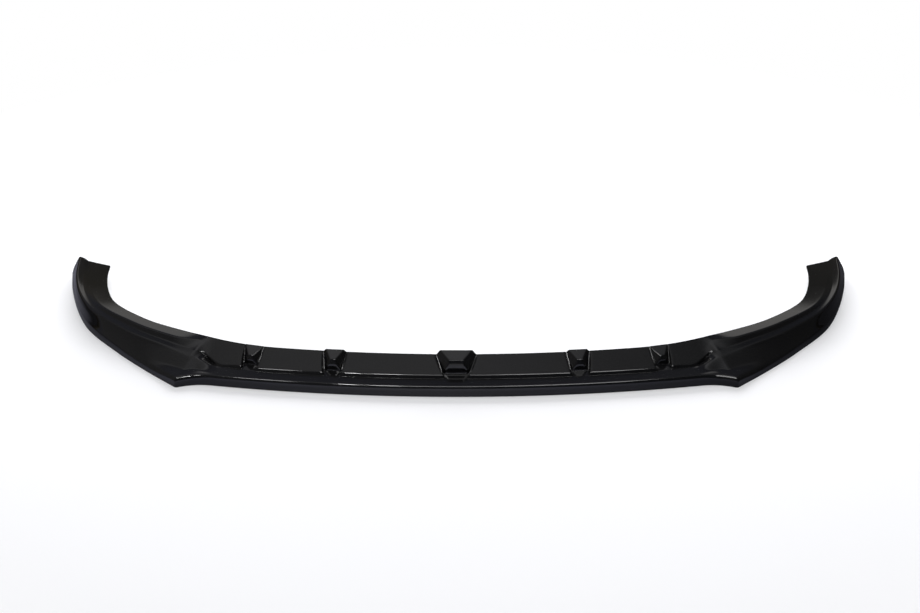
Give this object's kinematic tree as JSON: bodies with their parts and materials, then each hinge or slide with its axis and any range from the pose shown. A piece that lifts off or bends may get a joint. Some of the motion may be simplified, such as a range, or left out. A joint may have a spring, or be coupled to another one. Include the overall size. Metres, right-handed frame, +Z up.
{
  "type": "front bumper lip spoiler",
  "caption": "Gloss black front lip for a car bumper: one hot-formed plastic sheet with a low blade, sloped pads with notches and bumps between them, and two wings that sweep back.",
  "frame": {"origin": "middle of the lip's bounding box, on the plane that its foot rests on", "axes": "+X along the lip toward the car's left side, -Y the way the car drives, +Z up"},
  "size_m": [1.7062, 0.48, 0.059],
  "materials": {
    "gloss_black": "deep gloss black, smooth on top, dull on the underside and along the trimmed edges"
  },
  "bodies": {
    "root": {"lip_shell": "gloss_black"}
  },
  "joints": []
}
